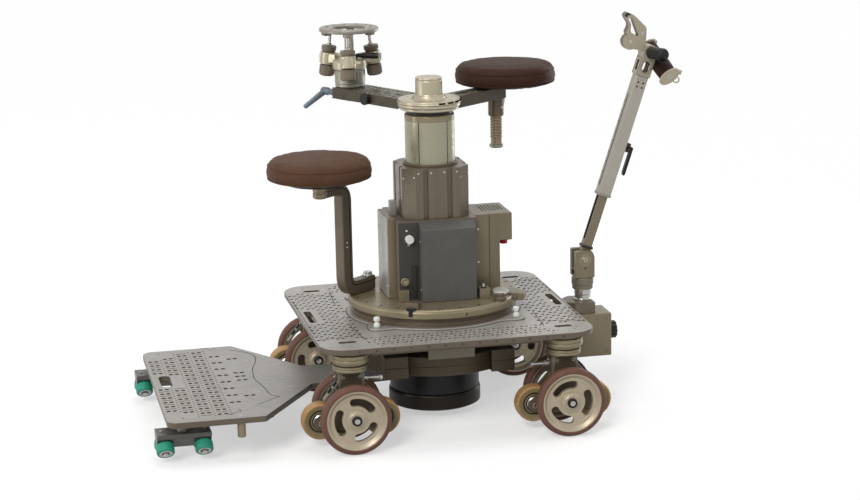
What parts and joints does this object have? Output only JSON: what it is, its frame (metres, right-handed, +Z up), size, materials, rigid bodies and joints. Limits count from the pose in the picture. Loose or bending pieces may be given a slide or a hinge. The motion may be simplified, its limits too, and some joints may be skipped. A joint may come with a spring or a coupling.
{
  "type": "camera dolly",
  "caption": "Wheeled camera platform with a turning column, levelling camera head, two round seats, a leaning push bar and a low front platform on slanted rollers.",
  "frame": {"origin": "on the floor under the middle of the whole object's length and width, at the lowest point of the large wheels", "axes": "+X along the object towards the push bar, +Y across it towards the side that faces away in the picture, +Z up"},
  "size_m": [1.6202, 0.8508, 1.1778],
  "materials": {
    "deck": "satin",
    "bronze": "satin",
    "brown": "satin",
    "cover": "matte",
    "tyre": "matte",
    "rail_wheel": "satin",
    "roller": "satin",
    "silver": "satin",
    "steel": "satin",
    "low_seat_leather": "satin",
    "high_seat_leather": "satin",
    "grip_leather": "matte",
    "black": "satin",
    "red": "gloss"
  },
  "bodies": {
    "chassis": {"deck_plate": "deck", "belly_housing": "bronze", "front_platform": "deck", "steering_box": "bronze"},
    "steering": {"steering_neck": "bronze"},
    "front_near_truck": {"front_near_fork": "bronze"},
    "front_near_outer_wheel": {"front_near_outer_wheel": "tyre"},
    "front_near_inner_wheel": {"front_near_inner_wheel": "tyre"},
    "front_near_rail_wheel_front": {"front_near_rail_wheel_front": "rail_wheel"},
    "front_near_rail_wheel_rear": {"front_near_rail_wheel_rear": "rail_wheel"},
    "rear_near_truck": {"rear_near_fork": "bronze"},
    "rear_near_outer_wheel": {"rear_near_outer_wheel": "tyre"},
    "rear_near_inner_wheel": {"rear_near_inner_wheel": "tyre"},
    "rear_near_rail_wheel_front": {"rear_near_rail_wheel_front": "rail_wheel"},
    "rear_near_rail_wheel_rear": {"rear_near_rail_wheel_rear": "rail_wheel"},
    "front_far_truck": {"front_far_fork": "bronze"},
    "front_far_outer_wheel": {"front_far_outer_wheel": "tyre"},
    "front_far_inner_wheel": {"front_far_inner_wheel": "tyre"},
    "front_far_rail_wheel_front": {"front_far_rail_wheel_front": "rail_wheel"},
    "front_far_rail_wheel_rear": {"front_far_rail_wheel_rear": "rail_wheel"},
    "rear_far_truck": {"rear_far_fork": "bronze"},
    "rear_far_outer_wheel": {"rear_far_outer_wheel": "tyre"},
    "rear_far_inner_wheel": {"rear_far_inner_wheel": "tyre"},
    "rear_far_rail_wheel_front": {"rear_far_rail_wheel_front": "rail_wheel"},
    "rear_far_rail_wheel_rear": {"rear_far_rail_wheel_rear": "rail_wheel"},
    "near_skate": {"near_skate": "brown"},
    "near_outer_front_roller": {"near_outer_front_roller": "roller"},
    "near_inner_front_roller": {"near_inner_front_roller": "roller"},
    "near_outer_rear_roller": {"near_outer_rear_roller": "roller"},
    "near_inner_rear_roller": {"near_inner_rear_roller": "roller"},
    "far_skate": {"far_skate": "brown"},
    "far_outer_front_roller": {"far_outer_front_roller": "roller"},
    "far_inner_front_roller": {"far_inner_front_roller": "roller"},
    "far_outer_rear_roller": {"far_outer_rear_roller": "roller"},
    "far_inner_rear_roller": {"far_inner_rear_roller": "roller"},
    "turret": {"turntable": "bronze", "column_housing": "brown", "front_cover": "cover", "control_box": "bronze"},
    "red_button": {"red_button": "red"},
    "low_seat_arm": {"low_seat_arm": "bronze"},
    "low_seat": {"low_seat_cushion": "low_seat_leather"},
    "column_sleeve": {"column_sleeve": "brown"},
    "column_tube": {"column_tube": "bronze"},
    "camera_arm": {"camera_arm": "bronze", "head_base": "bronze", "head_ring": "silver"},
    "arm_lock_lever": {"arm_lock_lever": "silver"},
    "head_lock_handle": {"head_lock_handle": "black"},
    "levelling_screw_1": {"levelling_screw_1": "steel"},
    "levelling_screw_2": {"levelling_screw_2": "steel"},
    "levelling_screw_3": {"levelling_screw_3": "steel"},
    "seat_arm": {"seat_arm": "bronze"},
    "high_seat_post": {"high_seat_post": "brown"},
    "high_seat": {"high_seat_cushion": "high_seat_leather"},
    "push_bar": {"push_bar_lower": "brown"},
    "push_bar_head": {"push_bar_upper": "silver", "handle_frame": "silver", "handle_grip": "grip_leather"},
    "push_bar_lever": {"push_bar_lever": "black"}
  },
  "joints": [
    {"name": "steering_turn", "type": "hinge", "parent": "chassis", "child": "steering", "pos_m": [0.53893, 0, 0], "axis": [0, 0, 1], "range_deg": [-60, 60]},
    {"name": "front_near_steer", "type": "hinge", "parent": "chassis", "child": "front_near_truck", "pos_m": [-0.24707, -0.325, 0], "axis": [0, 0, 1], "range_deg": [-60, 60]},
    {"name": "front_near_outer_spin", "type": "hinge", "parent": "front_near_truck", "child": "front_near_outer_wheel", "pos_m": [-0.24707, -0.402, 0.103], "axis": [0, 1, 0], "continuous": true},
    {"name": "front_near_inner_spin", "type": "hinge", "parent": "front_near_truck", "child": "front_near_inner_wheel", "pos_m": [-0.24707, -0.248, 0.103], "axis": [0, 1, 0], "continuous": true},
    {"name": "front_near_rail_front_spin", "type": "hinge", "parent": "front_near_truck", "child": "front_near_rail_wheel_front", "pos_m": [-0.33707, -0.31, 0.082], "axis": [0, 1, 0], "continuous": true},
    {"name": "front_near_rail_rear_spin", "type": "hinge", "parent": "front_near_truck", "child": "front_near_rail_wheel_rear", "pos_m": [-0.15707, -0.31, 0.082], "axis": [0, 1, 0], "continuous": true},
    {"name": "rear_near_steer", "type": "hinge", "parent": "chassis", "child": "rear_near_truck", "pos_m": [0.38693, -0.325, 0], "axis": [0, 0, 1], "range_deg": [-60, 60]},
    {"name": "rear_near_outer_spin", "type": "hinge", "parent": "rear_near_truck", "child": "rear_near_outer_wheel", "pos_m": [0.38693, -0.402, 0.103], "axis": [0, 1, 0], "continuous": true},
    {"name": "rear_near_inner_spin", "type": "hinge", "parent": "rear_near_truck", "child": "rear_near_inner_wheel", "pos_m": [0.38693, -0.248, 0.103], "axis": [0, 1, 0], "continuous": true},
    {"name": "rear_near_rail_front_spin", "type": "hinge", "parent": "rear_near_truck", "child": "rear_near_rail_wheel_front", "pos_m": [0.29693, -0.31, 0.082], "axis": [0, 1, 0], "continuous": true},
    {"name": "rear_near_rail_rear_spin", "type": "hinge", "parent": "rear_near_truck", "child": "rear_near_rail_wheel_rear", "pos_m": [0.47693, -0.31, 0.082], "axis": [0, 1, 0], "continuous": true},
    {"name": "front_far_steer", "type": "hinge", "parent": "chassis", "child": "front_far_truck", "pos_m": [-0.24707, 0.325, 0], "axis": [0, 0, 1], "range_deg": [-60, 60]},
    {"name": "front_far_outer_spin", "type": "hinge", "parent": "front_far_truck", "child": "front_far_outer_wheel", "pos_m": [-0.24707, 0.402, 0.103], "axis": [0, 1, 0], "continuous": true},
    {"name": "front_far_inner_spin", "type": "hinge", "parent": "front_far_truck", "child": "front_far_inner_wheel", "pos_m": [-0.24707, 0.248, 0.103], "axis": [0, 1, 0], "continuous": true},
    {"name": "front_far_rail_front_spin", "type": "hinge", "parent": "front_far_truck", "child": "front_far_rail_wheel_front", "pos_m": [-0.33707, 0.31, 0.082], "axis": [0, 1, 0], "continuous": true},
    {"name": "front_far_rail_rear_spin", "type": "hinge", "parent": "front_far_truck", "child": "front_far_rail_wheel_rear", "pos_m": [-0.15707, 0.31, 0.082], "axis": [0, 1, 0], "continuous": true},
    {"name": "rear_far_steer", "type": "hinge", "parent": "chassis", "child": "rear_far_truck", "pos_m": [0.38693, 0.325, 0], "axis": [0, 0, 1], "range_deg": [-60, 60]},
    {"name": "rear_far_outer_spin", "type": "hinge", "parent": "rear_far_truck", "child": "rear_far_outer_wheel", "pos_m": [0.38693, 0.402, 0.103], "axis": [0, 1, 0], "continuous": true},
    {"name": "rear_far_inner_spin", "type": "hinge", "parent": "rear_far_truck", "child": "rear_far_inner_wheel", "pos_m": [0.38693, 0.248, 0.103], "axis": [0, 1, 0], "continuous": true},
    {"name": "rear_far_rail_front_spin", "type": "hinge", "parent": "rear_far_truck", "child": "rear_far_rail_wheel_front", "pos_m": [0.29693, 0.31, 0.082], "axis": [0, 1, 0], "continuous": true},
    {"name": "rear_far_rail_rear_spin", "type": "hinge", "parent": "rear_far_truck", "child": "rear_far_rail_wheel_rear", "pos_m": [0.47693, 0.31, 0.082], "axis": [0, 1, 0], "continuous": true},
    {"name": "near_skate_swivel", "type": "hinge", "parent": "chassis", "child": "near_skate", "pos_m": [-0.73107, -0.31, 0], "axis": [0, 0, 1], "range_deg": [-30, 30]},
    {"name": "near_outer_front_roller_spin", "type": "hinge", "parent": "near_skate", "child": "near_outer_front_roller", "pos_m": [-0.78607, -0.338, 0.042], "axis": [0, -0.7071, -0.7071], "continuous": true},
    {"name": "near_inner_front_roller_spin", "type": "hinge", "parent": "near_skate", "child": "near_inner_front_roller", "pos_m": [-0.78607, -0.282, 0.042], "axis": [0, 0.7071, -0.7071], "continuous": true},
    {"name": "near_outer_rear_roller_spin", "type": "hinge", "parent": "near_skate", "child": "near_outer_rear_roller", "pos_m": [-0.67607, -0.338, 0.042], "axis": [0, -0.7071, -0.7071], "continuous": true},
    {"name": "near_inner_rear_roller_spin", "type": "hinge", "parent": "near_skate", "child": "near_inner_rear_roller", "pos_m": [-0.67607, -0.282, 0.042], "axis": [0, 0.7071, -0.7071], "continuous": true},
    {"name": "far_skate_swivel", "type": "hinge", "parent": "chassis", "child": "far_skate", "pos_m": [-0.73107, 0.31, 0], "axis": [0, 0, 1], "range_deg": [-30, 30]},
    {"name": "far_outer_front_roller_spin", "type": "hinge", "parent": "far_skate", "child": "far_outer_front_roller", "pos_m": [-0.78607, 0.338, 0.042], "axis": [0, 0.7071, -0.7071], "continuous": true},
    {"name": "far_inner_front_roller_spin", "type": "hinge", "parent": "far_skate", "child": "far_inner_front_roller", "pos_m": [-0.78607, 0.282, 0.042], "axis": [0, -0.7071, -0.7071], "continuous": true},
    {"name": "far_outer_rear_roller_spin", "type": "hinge", "parent": "far_skate", "child": "far_outer_rear_roller", "pos_m": [-0.67607, 0.338, 0.042], "axis": [0, 0.7071, -0.7071], "continuous": true},
    {"name": "far_inner_rear_roller_spin", "type": "hinge", "parent": "far_skate", "child": "far_inner_rear_roller", "pos_m": [-0.67607, 0.282, 0.042], "axis": [0, -0.7071, -0.7071], "continuous": true},
    {"name": "turntable_turn", "type": "hinge", "parent": "chassis", "child": "turret", "pos_m": [0.06993, 0, 0], "axis": [0, 0, 1], "continuous": true},
    {"name": "red_button_press", "type": "slide", "parent": "turret", "child": "red_button", "axis": [0, 0, 1], "range_m": [0, 0.004], "stiffness_N_per_m": 400, "springref_m": -0.002},
    {"name": "low_seat_arm_swing", "type": "hinge", "parent": "turret", "child": "low_seat_arm", "pos_m": [-0.11707, 0.06, 0], "axis": [0, 0, 1], "range_deg": [-60, 25]},
    {"name": "low_seat_turn", "type": "hinge", "parent": "low_seat_arm", "child": "low_seat", "pos_m": [-0.27888, -0.08157, 0.746], "axis": [0, 0, 1], "continuous": true},
    {"name": "column_sleeve_lift", "type": "slide", "parent": "turret", "child": "column_sleeve", "axis": [0, 0, 1], "range_m": [-0.08, 0.09]},
    {"name": "column_tube_lift", "type": "slide", "parent": "column_sleeve", "child": "column_tube", "axis": [0, 0, 1], "range_m": [-0.1, 0.12]},
    {"name": "camera_arm_turn", "type": "hinge", "parent": "column_tube", "child": "camera_arm", "pos_m": [0.06993, 0, 0], "axis": [0, 0, 1], "range_deg": [-120, 90]},
    {"name": "arm_lock_lever_turn", "type": "hinge", "parent": "camera_arm", "child": "arm_lock_lever", "pos_m": [-0.14994, 0.32631, 0.926], "axis": [-0.4851, 0.8745, 0], "range_deg": [-45, 55]},
    {"name": "head_lock_handle_turn", "type": "hinge", "parent": "camera_arm", "child": "head_lock_handle", "pos_m": [-0.1076, 0.32006, 0.945], "axis": [0, 0, 1], "range_deg": [-35, 8]},
    {"name": "levelling_screw_1_turn", "type": "hinge", "parent": "camera_arm", "child": "levelling_screw_1", "pos_m": [-0.12672, 0.24341, 1.03], "axis": [0.0333, 0.1337, 0.9905], "range_deg": [-360, 360]},
    {"name": "levelling_screw_2_turn", "type": "hinge", "parent": "camera_arm", "child": "levelling_screw_2", "pos_m": [-0.03166, 0.34183, 1.03], "axis": [-0.1325, -0.038, 0.9905], "range_deg": [-360, 360]},
    {"name": "levelling_screw_3_turn", "type": "hinge", "parent": "camera_arm", "child": "levelling_screw_3", "pos_m": [-0.16442, 0.37494, 1.03], "axis": [0.0991, -0.0957, 0.9905], "range_deg": [-360, 360]},
    {"name": "seat_arm_turn", "type": "hinge", "parent": "camera_arm", "child": "seat_arm", "pos_m": [0.06993, 0, 0], "axis": [0, 0, 1], "range_deg": [-25, 18]},
    {"name": "high_seat_lift", "type": "slide", "parent": "seat_arm", "child": "high_seat_post", "axis": [0, 0, 1], "range_m": [0, 0.06]},
    {"name": "high_seat_turn", "type": "hinge", "parent": "high_seat_post", "child": "high_seat", "pos_m": [0.35394, 0.20282, 0.953], "axis": [0, 0, 1], "continuous": true},
    {"name": "push_bar_tilt", "type": "hinge", "parent": "steering", "child": "push_bar", "pos_m": [0.53893, 0, 0.43], "axis": [0, 1, 0], "range_deg": [-8, 50]},
    {"name": "push_bar_extend", "type": "slide", "parent": "push_bar", "child": "push_bar_head", "axis": [0.318, 0, 0.9481], "range_m": [-0.14, 0.13]},
    {"name": "push_bar_lever_open", "type": "hinge", "parent": "push_bar_head", "child": "push_bar_lever", "pos_m": [0.68058, 0, 0.76431], "axis": [0, -1, 0], "range_deg": [0, 80]}
  ],
  "couplings": [
    {"joint": "front_near_steer", "follows": "steering_turn", "ratio": 1},
    {"joint": "rear_near_steer", "follows": "steering_turn", "ratio": 1},
    {"joint": "front_far_steer", "follows": "steering_turn", "ratio": 1},
    {"joint": "rear_far_steer", "follows": "steering_turn", "ratio": 1}
  ]
}
